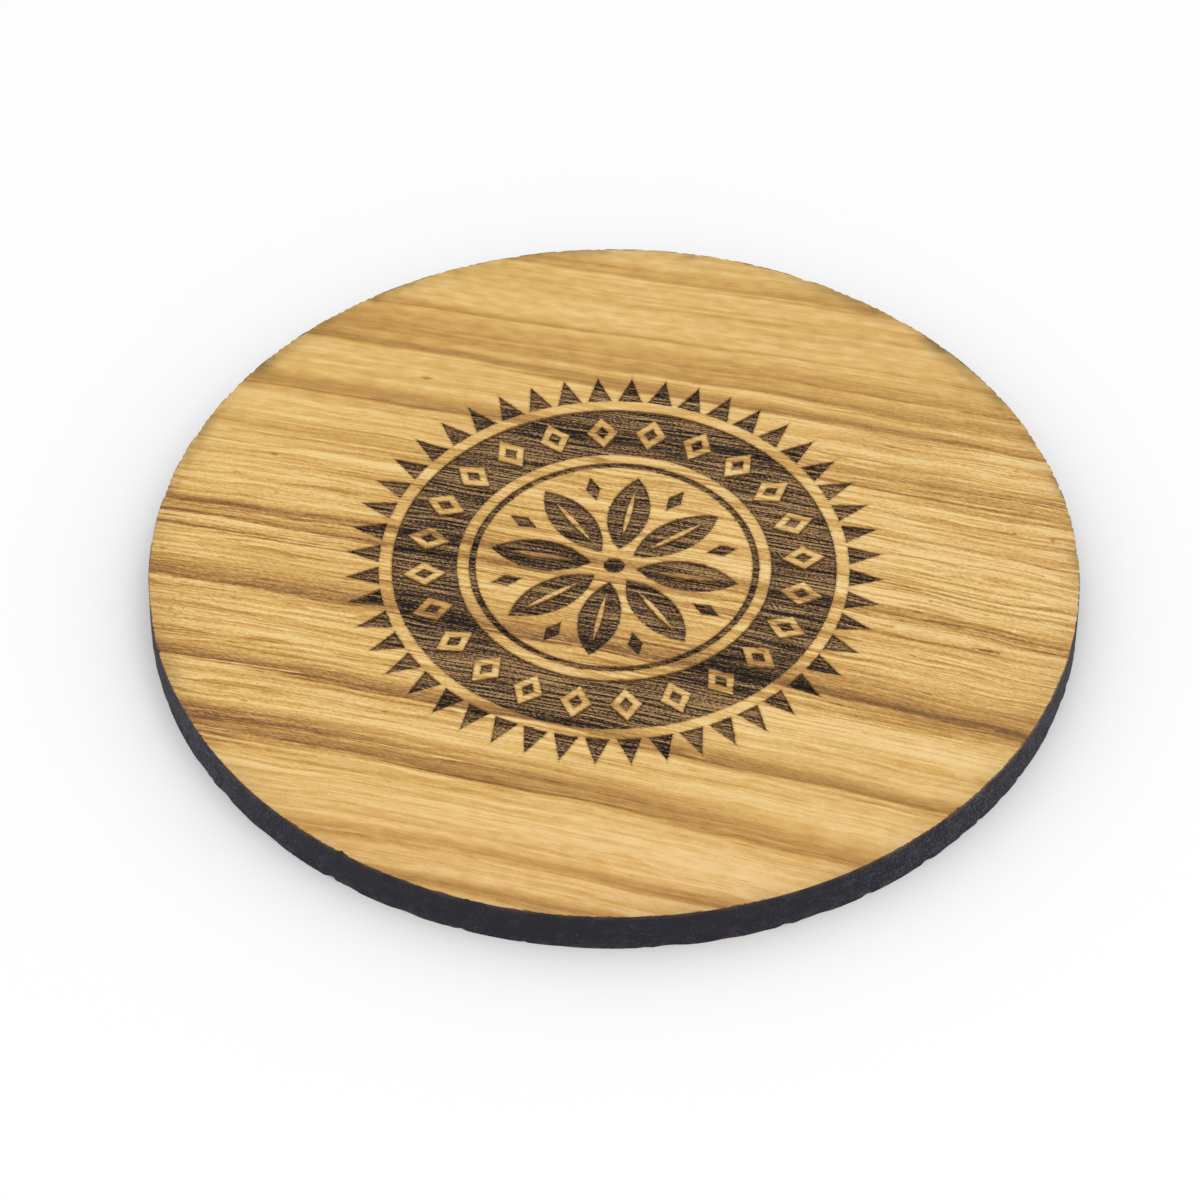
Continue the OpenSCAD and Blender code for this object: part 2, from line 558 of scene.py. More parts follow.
def cut_panel():
    """The whole panel inside its cut line, with a row of edges at each layer's face, dented and nicked."""
    panel = cut_line()
    core_step = (HIGH["core_board"] - LOW["core_board"]) / CORE_ROWS
    rises = [HIGH["back_veneer"], HIGH["back_glue_line"] - LOW["back_glue_line"]]
    rises += [core_step] * CORE_ROWS
    rises += [HIGH["face_glue_line"] - LOW["face_glue_line"], HIGH["face_veneer"] - LOW["face_veneer"]]
    open_piece(panel, "EDGE")
    bpy.ops.mesh.select_all(action="SELECT")
    bpy.ops.mesh.edge_face_add()
    for rise in rises:
        bpy.ops.mesh.extrude_region_move(TRANSFORM_OT_translate={"value": (0, 0, rise * MM)})
    bpy.ops.mesh.select_all(action="SELECT")
    bpy.ops.mesh.normals_make_consistent(inside=False)
    bpy.ops.mesh.select_mode(type="VERT")
    dice = random.Random(DENT_SEED)
    dent_rim(panel, dice, FACE_Z, UPPER_DENTS, UPPER_DENT_DEPTHS, UPPER_DENT_REACHES)
    dent_rim(panel, dice, 0, LOWER_DENTS, LOWER_DENT_DEPTHS, LOWER_DENT_REACHES)
    for turn, rim, depth, reach in NICKS:
        push_in(panel, turn, FACE_Z if rim == "upper" else 0, depth, reach)
    close_piece()
    return panel


def layer_of(panel, node, name):
    """One layer of the panel: what lies above and below is deleted, and the open sides are filled."""
    low, high = LOW[node] * MM, HIGH[node] * MM
    near = TOUCH * MM
    piece = copy_of(panel, name)
    open_piece(piece, "FACE")
    pick(piece, "faces", lambda f: not low - near < f.calc_center_median().z < high + near
         or abs(f.normal.z) > LEVEL and low + near < f.calc_center_median().z < high - near)
    bpy.ops.mesh.delete(type="FACE")
    bpy.ops.mesh.select_mode(type="EDGE")
    for height in (low, high):
        pick(piece, "edges", lambda e: e.is_boundary and all(abs(v.co.z - height) < near for v in e.verts))
        if any(e.select for e in bmesh.from_edit_mesh(piece.data).edges):
            bpy.ops.mesh.edge_face_add()
    bpy.ops.mesh.select_all(action="SELECT")
    bpy.ops.mesh.normals_make_consistent(inside=False)
    close_piece()
    return piece


def paint_by_place(piece, finishes):
    """Gives each face the first finish whose test it passes."""
    for material, _ in finishes:
        piece.data.materials.append(material)
    for face in piece.data.polygons:
        for slot, (_, test) in enumerate(finishes):
            if test(face):
                face.material_index = slot
                break


def finish_piece(piece, node):
    choose(piece)
    bpy.ops.object.shade_smooth_by_angle(angle=SMOOTH_BELOW)
    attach(piece, "root")
    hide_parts(node)


def anywhere(face):
    return True


def on_edge(face):
    """True for the faces of the cut edge round the disc."""
    return face.center.xy.length > (DISC_R - EDGE_REACH) * MM and abs(face.normal.z) < UPRIGHT


def recess_wall(face):
    below_face = (TOOL_LOW - TOUCH) * MM < face.center.z < (FACE_Z - TOUCH) * MM
    return below_face and abs(face.normal.z) < UPRIGHT


def recess_floor(face):
    return face.center.z < (FACE_Z - TOUCH) * MM and face.normal.z > LEVEL


def engraved_face(panel, oak, burnt_oak, scorched_wall, char):
    piece = layer_of(panel, "face_veneer", "engraved_oak_face")
    carve(piece, ornament_tools(), "DIFFERENCE")
    paint_by_place(piece, (
        (char, on_edge), (scorched_wall, recess_wall), (burnt_oak, recess_floor), (oak, anywhere)))
    finish_piece(piece, "face_veneer")


def glue_film(panel, node, name, glue, char):
    piece = layer_of(panel, node, name)
    paint_by_place(piece, ((char, on_edge), (glue, anywhere)))
    finish_piece(piece, node)


def fibreboard_core(panel, board, char):
    piece = layer_of(panel, "core_board", "fibreboard_core")
    paint_by_place(piece, ((char, on_edge), (board, anywhere)))
    finish_piece(piece, "core_board")


def plain_back(panel, oak, char):
    piece = layer_of(panel, "back_veneer", "plain_oak_back")
    paint_by_place(piece, ((char, on_edge), (oak, anywhere)))
    finish_piece(piece, "back_veneer")


# Shader nodes


class Nodes:
    """Adds nodes to one tree, so that a formula over the surface reads as calls."""

    def __init__(self, tree):
        self.tree = tree

    def add(self, kind, **settings):
        node = self.tree.nodes.new("ShaderNode" + kind)
        for name, value in settings.items():
            setattr(node, name, value)
        return node

    def feed(self, socket, value):
        if isinstance(value, bpy.types.NodeSocket):
            self.tree.links.new(value, socket)
        else:
            socket.default_value = value

    def math(self, operation, *values, clamp=False):
        node = self.add("Math", operation=operation, use_clamp=clamp)
        for socket, value in zip(node.inputs, values):
            self.feed(socket, value)
        return node.outputs[0]

    def vector(self, operation, *values, scale=None):
        node = self.add("VectorMath", operation=operation)
        for socket, value in zip(node.inputs, values):
            self.feed(socket, value)
        if scale is not None:
            self.feed(node.inputs["Scale"], scale)
        return node.outputs["Value"] if operation in ("LENGTH", "DISTANCE") else node.outputs["Vector"]

    def remap(self, value, from_low, from_high, to_low=0.0, to_high=1.0, kind="SMOOTHSTEP"):
        node = self.add("MapRange", interpolation_type=kind, clamp=True)
        for name, setting in (("Value", value), ("From Min", from_low), ("From Max", from_high),
                              ("To Min", to_low), ("To Max", to_high)):
            self.feed(node.inputs[name], setting)
        return node.outputs["Result"]

    def axes(self, vector):
        node = self.add("SeparateXYZ")
        self.feed(node.inputs[0], vector)
        return node.outputs

    def point(self, x, y):
        node = self.add("CombineXYZ")
        self.feed(node.inputs["X"], x)
        self.feed(node.inputs["Y"], y)
        return node.outputs[0]

    def noise(self, vector, size, detail, flat=True):
        """Noise whose blots are about the given size along each axis. Flat noise has no size along Z."""
        stretched = self.vector("DIVIDE", vector, (*size, 1.0)[:3])
        node = self.add("TexNoise", noise_dimensions="2D" if flat else "3D")
        self.feed(node.inputs["Vector"], stretched)
        node.inputs["Scale"].default_value = 1.0
        node.inputs["Detail"].default_value = detail
        return node.outputs["Fac"]

    def between(self, share, first, second):
        """The value that lies a share of the way from the first to the second."""
        return self.math("MULTIPLY_ADD", share, self.math("SUBTRACT", second, first), first)

    def ramp(self, value, stops):
        """Colours along a value, given as pairs of a place between 0 and 1 and a colour."""
        node = self.add("ValToRGB")
        elements = node.color_ramp.elements
        while len(elements) < len(stops):
            elements.new(0.5)
        for element, (place, colour) in zip(elements, stops):
            element.position = place
            element.color = tint(colour)
        self.feed(node.inputs["Fac"], value)
        return node.outputs["Color"]

    def blend(self, share, first, second, kind="MIX"):
        """Blends two colours. A Mix node takes them at inputs 6 and 7, and gives the blend at output 2."""
        node = self.add("Mix", data_type="RGBA", blend_type=kind)
        self.feed(node.inputs["Factor"], share)
        self.feed(node.inputs[6], first)
        self.feed(node.inputs[7], second)
        return node.outputs[2]

    def group(self, tree, **inputs):
        """Places a group, fed by its sockets' names, and gives its outputs by name."""
        node = self.add("Group", node_tree=tree)
        for name, value in inputs.items():
            self.feed(node.inputs[name.replace("_", " ")], value)
        return {socket.name: socket for socket in node.outputs}

    def bump(self, height, distance):
        node = self.add("Bump")
        node.inputs["Distance"].default_value = distance
        self.feed(node.inputs["Height"], height)
        return node.outputs["Normal"]


# Kinds of the groups' sockets that hold more than a value
SOCKET_KINDS = {
    "Position": "Vector",
    "Flow": "Vector",
    "Middle": "Vector",
    "Half size": "Vector",
    "Color": "Color",
}


def new_group(name, inputs, outputs):
    """Starts a node group. Gives its tree, its nodes, and its sockets for what comes in and what goes out."""
    tree = bpy.data.node_groups.new(name, "ShaderNodeTree")
    for in_out, sockets in (("INPUT", inputs), ("OUTPUT", outputs)):
        for socket in sockets:
            kind = "NodeSocket" + SOCKET_KINDS.get(socket, "Float")
            tree.interface.new_socket(name=socket, in_out=in_out, socket_type=kind)
    nodes = Nodes(tree)
    taken = tree.nodes.new("NodeGroupInput").outputs
    given = tree.nodes.new("NodeGroupOutput").inputs
    return tree, nodes, taken, given


def weigh(n, start, parts):
    """Adds to the start each value's distance from its middle, times its weight."""
    total = start
    for value, middle, weight in parts:
        total = n.math("MULTIPLY_ADD", n.math("SUBTRACT", value, middle), weight, total)
    return total


def new_material(name):
    material = bpy.data.materials.new(name)
    material.use_nodes = True
    shader = material.node_tree.nodes["Principled BSDF"]
    return material, Nodes(material.node_tree), shader


def position_mm(n):
    """The place on the piece, in millimetres."""
    place = n.add("TexCoord").outputs["Object"]
    return n.vector("SCALE", place, scale=1 / MM)


# Effects that finishes share, each a group of nodes


def grain_flow_group():
    """Bends the flat position so that its Y runs across the grain, which drifts and waves."""
    tree, n, taken, given = new_group("grain_flow", ("Position", "Sheet"), ("Flow",))
    x, y, _ = n.axes(taken["Position"])
    shifted = n.vector("ADD", taken["Position"], n.vector("SCALE", SHEET_FIGURE_STEP, scale=taken["Sheet"]))
    drift = n.math("MULTIPLY", x, n.math("MULTIPLY_ADD", x, 0.0004, 0.04))
    lean = n.math("MULTIPLY_ADD", y, -0.015, 1.0)
    slow = n.math("SUBTRACT", n.noise(shifted, (45, 18), 1.0), 0.5)
    quick = n.math("SUBTRACT", n.noise(shifted, (8, 5), 0.0), 0.5)
    lively = n.remap(x, -BAND_END, BAND_END, 0.32, 0.55, "LINEAR")
    across = n.math("MULTIPLY_ADD", drift, lean, y)
    across = n.math("MULTIPLY_ADD", quick, lively, n.math("ADD", across, slow))
    n.feed(given["Flow"], n.point(x, across))
    return tree


def growth_band_group():
    """Adds one growth band's darkness, which fades over Above on the upper side and Below on the lower."""
    tree, n, taken, given = new_group(
        "growth_band",
        ("Across", "Side", "Before", "Left middle", "Right middle", "Above", "Below", "Left dark",
         "Right dark"),
        ("Darkness",))
    middle = n.between(taken["Side"], taken["Left middle"], taken["Right middle"])
    reach = n.between(taken["Side"], taken["Left dark"], taken["Right dark"])
    away = n.math("SUBTRACT", taken["Across"], middle)
    upper = n.remap(n.math("DIVIDE", away, taken["Above"]), *FADE_SHARES)
    lower = n.remap(n.math("DIVIDE", away, taken["Below"]), *(-share for share in FADE_SHARES))
    within = n.math("MULTIPLY", upper, lower)
    n.feed(given["Darkness"], n.math("MULTIPLY_ADD", within, reach, taken["Before"]))
    return tree


def growth_bands_group(name, bands, band):
    """How dark one sheet's growth bands make a place. The streaks split and break their borders."""
    tree, n, taken, given = new_group(name, ("Flow", "Focus", "Line", "Fine", "Fibre"), ("Darkness",))
    x, across, _ = n.axes(taken["Flow"])
    split = weigh(n, 0.0, ((taken["Fine"], 0.5, 1.2), (taken["Fibre"], 0.5, 0.6)))
    broken = n.math("MULTIPLY_ADD", split, taken["Focus"], weigh(n, across, ((taken["Line"], 0.5, 1.6),)))
    side = n.remap(x, -BAND_END, BAND_END, kind="LINEAR")
    darkness = 0.0
    for left_middle, right_middle, above, below, left_dark, right_dark in bands:
        darkness = n.group(
            band, Across=broken, Side=side, Before=darkness, Left_middle=left_middle,
            Right_middle=right_middle, Above=above, Below=below, Left_dark=left_dark,
            Right_dark=right_dark)["Darkness"]
    n.feed(given["Darkness"], darkness)
    return tree


def ribs_group():
    """Narrow lines side by side: each turns slowly darker and ends at a bright hair, and they come and go."""
    tree, n, taken, given = new_group("grain_ribs", ("Flow", "Pitch", "Faint", "Clear"), ("Dark", "Bright"))
    flow = taken["Flow"]
    _, across, _ = n.axes(flow)
    slow = n.noise(flow, (45, 5), 0.0)
    quick = n.noise(flow, (6, 1.3), 0.0)
    wander = weigh(n, n.math("DIVIDE", across, taken["Pitch"]), ((slow, 0.5, 3.0), (quick, 0.5, 0.9)))
    part = n.math("FRACT", wander)
    dark = n.math("MULTIPLY", n.remap(part, 0.40, 0.90), n.remap(part, 1.0, 0.95))
    bright = n.math("MULTIPLY", n.remap(part, 0.0, 0.06), n.remap(part, 0.36, 0.10))
    seen = n.remap(n.noise(flow, (15, 1.2), 1.0), taken["Faint"], taken["Clear"])
    n.feed(given["Dark"], n.math("MULTIPLY", dark, seen))
    n.feed(given["Bright"], n.math("MULTIPLY", bright, seen))
    return tree


# What oak_streaks gives and bare_oak takes
STREAKS = (
    "Streak", "Line", "Fine", "Fibre", "Grit", "Rib", "Shine", "Hairline", "Pore", "Fleck", "Smear",
    "Glint")


def oak_streaks_group(ribs):
    """Streaks, lines, fibres, pores and specks that follow the grain, and painted highlights: bright hairs
    and glints.
    """
    tree, n, taken, given = new_group("oak_streaks", ("Flow", "Sheet"), STREAKS)
    flow = n.vector("ADD", taken["Flow"], n.vector("SCALE", SHEET_STREAK_STEP, scale=taken["Sheet"]))
    x, across, _ = n.axes(flow)
    slanted = n.point(n.math("MULTIPLY_ADD", across, 2.3, x), across)
    n.feed(given["Streak"], n.noise(flow, (70, 2.4), 1.0))
    n.feed(given["Line"], n.noise(flow, (42, 0.8), 1.0))
    n.feed(given["Fine"], n.noise(slanted, (18, 0.36), 1.0))
    n.feed(given["Fibre"], n.noise(slanted, (2.6, 0.15), 1.0))
    n.feed(given["Grit"], n.noise(slanted, (0.45, 0.16), 2.0))
    beside = n.vector("ADD", flow, NARROW_RIB_STEP)
    wide = n.group(ribs, Flow=flow, Pitch=1.1, Faint=0.40, Clear=0.64)
    narrow = n.group(ribs, Flow=beside, Pitch=0.66, Faint=0.40, Clear=0.64)
    # Rib gives the ribs' dark lines; Shine gives their bright hairs, painted highlights beside them
    n.feed(given["Rib"], n.math("MULTIPLY_ADD", narrow["Dark"], 0.7, wide["Dark"]))
    n.feed(given["Shine"], n.math("MULTIPLY_ADD", narrow["Bright"], 0.7, wide["Bright"]))
    contour = n.math("ABSOLUTE", n.math("SUBTRACT", n.noise(flow, (34, 1.15), 0.0), 0.5))
    comes_and_goes = n.remap(n.noise(flow, (12, 2.0), 0.0), 0.40, 0.60)
    n.feed(given["Hairline"], n.math("MULTIPLY", n.remap(contour, 0.04, 0.0), comes_and_goes))
    n.feed(given["Pore"], n.remap(n.noise(slanted, (2.2, 0.16), 1.0), 0.60, 0.72))
    n.feed(given["Fleck"], n.remap(n.noise(slanted, (2.2, 0.4), 0.0), 0.86, 0.93))
    n.feed(given["Smear"], n.noise(flow, (2.6, 0.85), 2.0))
    # Glint: short pale flecks in patches, painted highlights
    patches = n.remap(n.noise(flow, (8, 0.8), 1.0), 0.52, 0.66)
    glints = n.remap(n.noise(slanted, (0.8, 0.14), 1.5), 0.58, 0.70)
    n.feed(given["Glint"], n.math("MULTIPLY", glints, patches))
    return tree


def bare_oak_group():
    """Bare oak: cream between the lines and brown in the growth bands, with painted highlights, its gloss and
    its relief.
    """
    tree, n, taken, given = new_group(
        "bare_oak", ("Position", "Dark", "Flaws", "Focus") + STREAKS, ("Color", "Roughness", "Height"))
    x, y, _ = n.axes(taken["Position"])
    dark, focus = taken["Dark"], taken["Focus"]
    fine = n.math("MULTIPLY", focus, n.math("MULTIPLY_ADD", dark, -0.95, 1.75))
    coarse = n.between(focus, 0.78, 1.25)
    pores = n.math("MULTIPLY", taken["Pore"], n.math("MULTIPLY_ADD", dark, 0.35, 0.05))
    # Painted glints, only in darker wood and where the grain is crisp
    glints = n.math("MULTIPLY", taken["Glint"], n.remap(dark, 0.15, 0.45))
    glints = n.math("MULTIPLY", glints, n.remap(focus, 0.6, 1.0))
    wide = weigh(n, 0.0, ((taken["Streak"], 0.5, 0.30), (taken["Line"], 0.5, 0.42)))
    # Shine lightens the wood here as painted highlight beside the ribs
    narrow = weigh(n, 0.0, (
        (taken["Fine"], 0.5, 0.46), (taken["Fibre"], 0.5, 0.26), (taken["Grit"], 0.5, 0.46),
        (taken["Rib"], 0.0, 0.14), (taken["Shine"], 0.0, -0.09), (taken["Hairline"], 0.0, 0.11),
        (pores, 0.0, 0.8), (taken["Fleck"], 0.0, 0.30)))
    mottled = weigh(n, 0.0, (
        (taken["Fine"], 0.5, 0.5), (taken["Fibre"], 0.5, 0.7), (taken["Grit"], 0.5, 0.7)))
    tone = n.math("MULTIPLY_ADD", dark, n.math("MULTIPLY_ADD", mottled, focus, 1.0), 0.127)
    tone = n.math("MULTIPLY_ADD", wide, coarse, tone)
    blurred = n.math("MULTIPLY", n.math("SUBTRACT", taken["Smear"], 0.5), n.math("SUBTRACT", 1.0, focus))
    tone = n.math("MULTIPLY_ADD", blurred, 0.45, tone)
    tone = n.math("ADD", n.math("MULTIPLY_ADD", narrow, fine, tone), taken["Flaws"])
    colour = n.ramp(n.remap(tone, -0.2, 1.0, kind="LINEAR"), (
        (0.0, "#F0D094"), (0.167, "#EAC787"), (0.292, "#DEB56F"), (0.392, "#D4A960"), (0.517, "#C59752"),
        (0.792, "#A1743A"), (1.0, "#7A522C")))
    # Painted highlight: the glints blend towards pale cream
    colour = n.blend(n.math("MULTIPLY", glints, 0.38), colour, tint("#F2D9A4"))
    golden = weigh(n, 0.2, ((x, 0.0, -0.008), (dark, 0.0, -0.8), (taken["Rib"], 0.0, 0.9)))
    colour = n.blend(n.math("MAXIMUM", golden, 0.0), colour, tint("#FFFEEE"), "MULTIPLY")
    n.feed(given["Color"], n.blend(n.remap(y, *ROSY_Y), colour, tint("#FEF9FC"), "MULTIPLY"))
    n.feed(given["Roughness"], n.remap(taken["Fine"], 0.2, 0.8, 0.50, 0.62, "LINEAR"))
    n.feed(given["Height"], weigh(n, 0.0, (
        (taken["Fibre"], 0.5, 0.7), (taken["Pore"], 0.0, -0.8), (taken["Grit"], 0.5, 0.5))))
    return tree


def burnt_wood_group(ribs):
    """Oak that the laser has burnt: light ridges of hard grain between charred furrows."""
    tree, n, taken, given = new_group("burnt_wood", ("Flow", "Dark", "Line"), ("Color", "Relief"))
    flow = taken["Flow"]
    x, across, _ = n.axes(flow)
    slanted = n.point(n.math("MULTIPLY_ADD", across, 0.8, x), across)
    beside = n.vector("ADD", flow, BURNT_RIB_STEP)
    rib = n.group(ribs, Flow=beside, Pitch=0.62, Faint=0.30, Clear=0.54)
    furrow, crest = rib["Dark"], rib["Bright"]
    contour = n.math("ABSOLUTE", n.math("SUBTRACT", n.noise(flow, (22, 0.9), 0.0), 0.5))
    crack = n.remap(contour, 0.06, 0.0)
    ridge = n.noise(flow, (20, 0.42), 1.0)
    thread = n.noise(slanted, (7.0, 0.18), 1.0)
    speck = n.noise(slanted, (0.32, 0.13), 1.0)
    tone = weigh(n, n.math("MULTIPLY_ADD", taken["Dark"], 1.3, 0.26), (
        (taken["Line"], 0.5, 0.7), (furrow, 0.0, 0.52), (crest, 0.0, -0.32), (crack, 0.0, 0.40),
        (ridge, 0.5, 1.5), (thread, 0.5, 2.2), (speck, 0.5, 2.6)))
    burn = n.remap(tone, -0.35, 1.35, kind="LINEAR")
    n.feed(given["Color"], n.ramp(burn, (
        (0.0, "#BC9764"), (0.2, "#94744C"), (0.38, "#75583C"), (0.53, "#4B382A"), (0.67, "#2A1E18"),
        (1.0, "#0F0A09"))))
    n.feed(given["Relief"], weigh(n, 0.0, (
        (furrow, 0.0, -0.4), (crack, 0.0, -0.3), (ridge, 0.5, -0.9), (thread, 0.5, -0.9),
        (speck, 0.5, -0.6))))
    return tree


def sector(n, place, count, first_turn=0.0):
    """Place within one of the ornament's equal sectors: along its middle line, and away from that line."""
    x, y, _ = n.axes(place)
    half = math.pi / count
    turn = n.math("WRAP", n.math("SUBTRACT", n.math("ARCTAN2", y, x), first_turn), half, -half)
    radius = n.vector("LENGTH", place)
    along = n.math("MULTIPLY", radius, n.math("COSINE", turn))
    return along, n.math("ABSOLUTE", n.math("MULTIPLY", radius, n.math("SINE", turn)))


def outside_leaf(n, along, aside, middle, length, width):
    arc_r = (length ** 2 + width ** 2) / (4 * width)
    to_centre = n.point(n.math("SUBTRACT", along, middle), n.math("ADD", aside, arc_r - width / 2))
    return n.math("SUBTRACT", n.vector("LENGTH", to_centre), arc_r)


def outside_lozenge(n, along, aside, middle, length, width):
    far = n.math("MULTIPLY", n.math("ABSOLUTE", n.math("SUBTRACT", along, middle)), width / 2)
    total = n.math("MULTIPLY_ADD", aside, length / 2, n.math("SUBTRACT", far, length * width / 4))
    return n.math("DIVIDE", total, math.hypot(length / 2, width / 2))


def outside_ring(n, radius, in_r, out_r):
    far = n.math("ABSOLUTE", n.math("SUBTRACT", radius, (in_r + out_r) / 2))
    return n.math("SUBTRACT", far, (out_r - in_r) / 2)


def outside_tooth(n, along, aside):
    slant = n.math("MULTIPLY_ADD", n.math("SUBTRACT", along, TOOTH_IN), TOOTH_W / 2,
                   n.math("MULTIPLY_ADD", aside, TOOTH_LEN, -TOOTH_LEN * TOOTH_W / 2))
    side = n.math("DIVIDE", slant, math.hypot(TOOTH_LEN, TOOTH_W / 2))
    return n.math("MAXIMUM", side, n.math("SUBTRACT", TOOTH_IN, along))


def ornament_distance_group():
    """How far a place on the face is from the burnt ornament, in millimetres, and less than 0 inside it."""
    tree, n, taken, given = new_group("ornament_distance", ("Position",), ("Distance",))
    x, y, _ = n.axes(taken["Position"])
    place = n.point(x, y)
    radius = n.vector("LENGTH", place)
    petal_at = sector(n, place, PETALS)
    seed_at = sector(n, place, PETALS, math.pi / PETALS)
    lozenge_at = sector(n, place, LOZENGES)
    vein = outside_leaf(n, *petal_at, PETAL_MID, VEIN_LEN, VEIN_W)
    petal = n.math("MAXIMUM", outside_leaf(n, *petal_at, PETAL_MID, PETAL_LEN, PETAL_W),
                   n.math("MULTIPLY", vein, -1.0))
    lozenge = outside_lozenge(n, *lozenge_at, BAND_MID, LOZENGE_LEN, LOZENGE_W)
    band = n.math("MAXIMUM", outside_ring(n, radius, BAND_IN, BAND_OUT), n.math("MULTIPLY", lozenge, -1.0))
    nearest = n.math("MINIMUM", n.math("SUBTRACT", radius, SPOT_R), petal)
    seed = outside_lozenge(n, *seed_at, SEED_MID, SEED_LEN, SEED_W)
    thin_ring = outside_ring(n, radius, THIN_RING_IN, THIN_RING_OUT)
    eye = outside_lozenge(n, *lozenge_at, BAND_MID, EYE_LEN, EYE_W)
    tooth = outside_tooth(n, *sector(n, place, TEETH))
    for shape in (seed, thin_ring, band, eye, tooth):
        nearest = n.math("MINIMUM", nearest, shape)
    n.feed(given["Distance"], nearest)
    return tree


def short_flaw_group():
    """Adds the darkness of one short flaw, which fades from its middle to its ends."""
    tree, n, taken, given = new_group(
        "short_flaw", ("Position", "Before", "Middle", "Half size", "Depth"), ("Darkness",))
    from_middle = n.vector("SUBTRACT", taken["Position"], taken["Middle"])
    away = n.vector("LENGTH", n.vector("DIVIDE", from_middle, taken["Half size"]))
    darkness = n.math("MULTIPLY_ADD", n.remap(away, 1.2, 0.3), taken["Depth"], taken["Before"])
    n.feed(given["Darkness"], darkness)
    return tree


def cut_rim_group():
    """Lays over a colour what the cut leaves along the rim: stains, smoke, dirt and a dark ragged fringe."""
    tree, n, taken, given = new_group(
        "cut_rim", ("Position", "Flow", "Color", "Clouds", "Smoke", "Dirt"), ("Color",))
    place, flow = taken["Position"], taken["Flow"]
    inside = n.math("SUBTRACT", DISC_R, n.vector("LENGTH", n.vector("MULTIPLY", place, (1, 1, 0))))
    ragged = weigh(n, inside, (
        (n.noise(flow, (1.4, 0.16), 1.0), 0.5, 0.35), (n.noise(place, (2.5, 2.5), 1.0), 0.5, 0.3)))
    cloud = n.remap(n.noise(place, (5.0, 5.0), 2.0), 0.46, 0.68)
    cloud = n.math("MULTIPLY", cloud, taken["Clouds"])
    stain = n.math("MULTIPLY", n.remap(inside, *CLOUD_STAIN), n.math("MULTIPLY_ADD", cloud, 0.38, 0.06))
    stain = n.math("ADD", stain, n.remap(inside, *WIDE_STAIN, 0.0, 0.08))
    stain = n.math("MULTIPLY_ADD", taken["Smoke"], n.remap(inside, *SMOKE_STAIN), stain)
    colour = n.blend(stain, taken["Color"], tint("#5F4526"))
    colour = n.blend(taken["Dirt"], colour, tint("#7A4E22"))
    patchy = n.remap(n.noise(place, (9.0, 9.0), 1.0), 0.38, 0.58, 0.3, 0.85)
    fringe = n.math("MULTIPLY", n.remap(ragged, *DARK_FRINGE), patchy)
    n.feed(given["Color"], n.blend(fringe, colour, tint("#30241C")))
    return tree


# Finishes


def face_focus(n, place):
    """How crisp the face's grain is: fully in the middle, and softer towards the near rim and the far rim."""
    x, y, _ = n.axes(place)
    aside = n.math("MULTIPLY", x, -math.sin(FOCUS_TURN))
    beyond = n.math("MULTIPLY_ADD", y, math.cos(FOCUS_TURN), aside)
    far = n.remap(beyond, *FAR_SOFT, 1.0, FAR_CRISPNESS)
    near = n.remap(beyond, *NEAR_SOFT, 1.0, NEAR_CRISPNESS)
    return n.math("MINIMUM", far, near)


def oak_grain(n, groups, place, bands, sheet, focus):
    """The grain's flow, how dark the growth bands are there, and the streaks, for one sheet of veneer."""
    flow = n.group(groups["flow"], Position=place, Sheet=sheet)["Flow"]
    streaks = n.group(groups["streaks"], Flow=flow, Sheet=sheet)
    dark = n.group(
        groups[bands], Flow=flow, Focus=focus, Line=streaks["Line"], Fine=streaks["Fine"],
        Fibre=streaks["Fibre"])["Darkness"]
    return flow, dark, streaks


def flaw_darkness(n, groups, place, streaks):
    """How much darker or paler the short flaws make the face, with ragged outlines."""
    x, y, _ = n.axes(place)
    ragged = weigh(n, y, ((streaks["Fibre"], 0.5, 0.3), (streaks["Grit"], 0.5, 0.2)))
    flat = n.point(x, ragged)
    darkness = 0.0
    for middle_x, middle_y, length, width, depth in FLAWS:
        darkness = n.group(
            groups["flaw"], Position=flat, Before=darkness, Middle=(middle_x, middle_y, 0),
            Half_size=(length / 2, width / 2, 1), Depth=depth)["Darkness"]
    return darkness


def face_stains(n, place, flow):
    """What stains the face's rim in the photograph: how much of the clouds, the smoke, and the dirt."""
    _, y, _ = n.axes(place)
    smoke = 0.0
    for turn, reach, depth in RIM_STAINS:
        away = n.vector("DISTANCE", place, (*polar(DISC_R, math.radians(turn)).xy, FACE_Z))
        smoke = n.math("ADD", smoke, n.remap(away, reach, 0.0, 0.0, depth))
    spread = n.remap(n.vector("DISTANCE", place, (*DIRT_MIDDLE, FACE_Z)), *DIRT_REACH)
    dots = n.remap(n.noise(flow, (0.7, 0.22), 2.0), 0.52, 0.74)
    dirt = n.math("MULTIPLY", n.math("MULTIPLY", spread, dots), 0.45)
    return {"Clouds": n.remap(y, *CLOUDED_Y, 0.3, 1.0), "Smoke": smoke, "Dirt": dirt}


def dress_oak(n, shader, oak, colour):
    """Gives a shader the gloss and relief of bare oak and its finished colour."""
    shader.inputs["Specular IOR Level"].default_value = 0.25
    n.feed(shader.inputs["Base Color"], colour)
    n.feed(shader.inputs["Roughness"], oak["Roughness"])
    n.feed(shader.inputs["Normal"], n.bump(oak["Height"], OAK_RELIEF * MM))


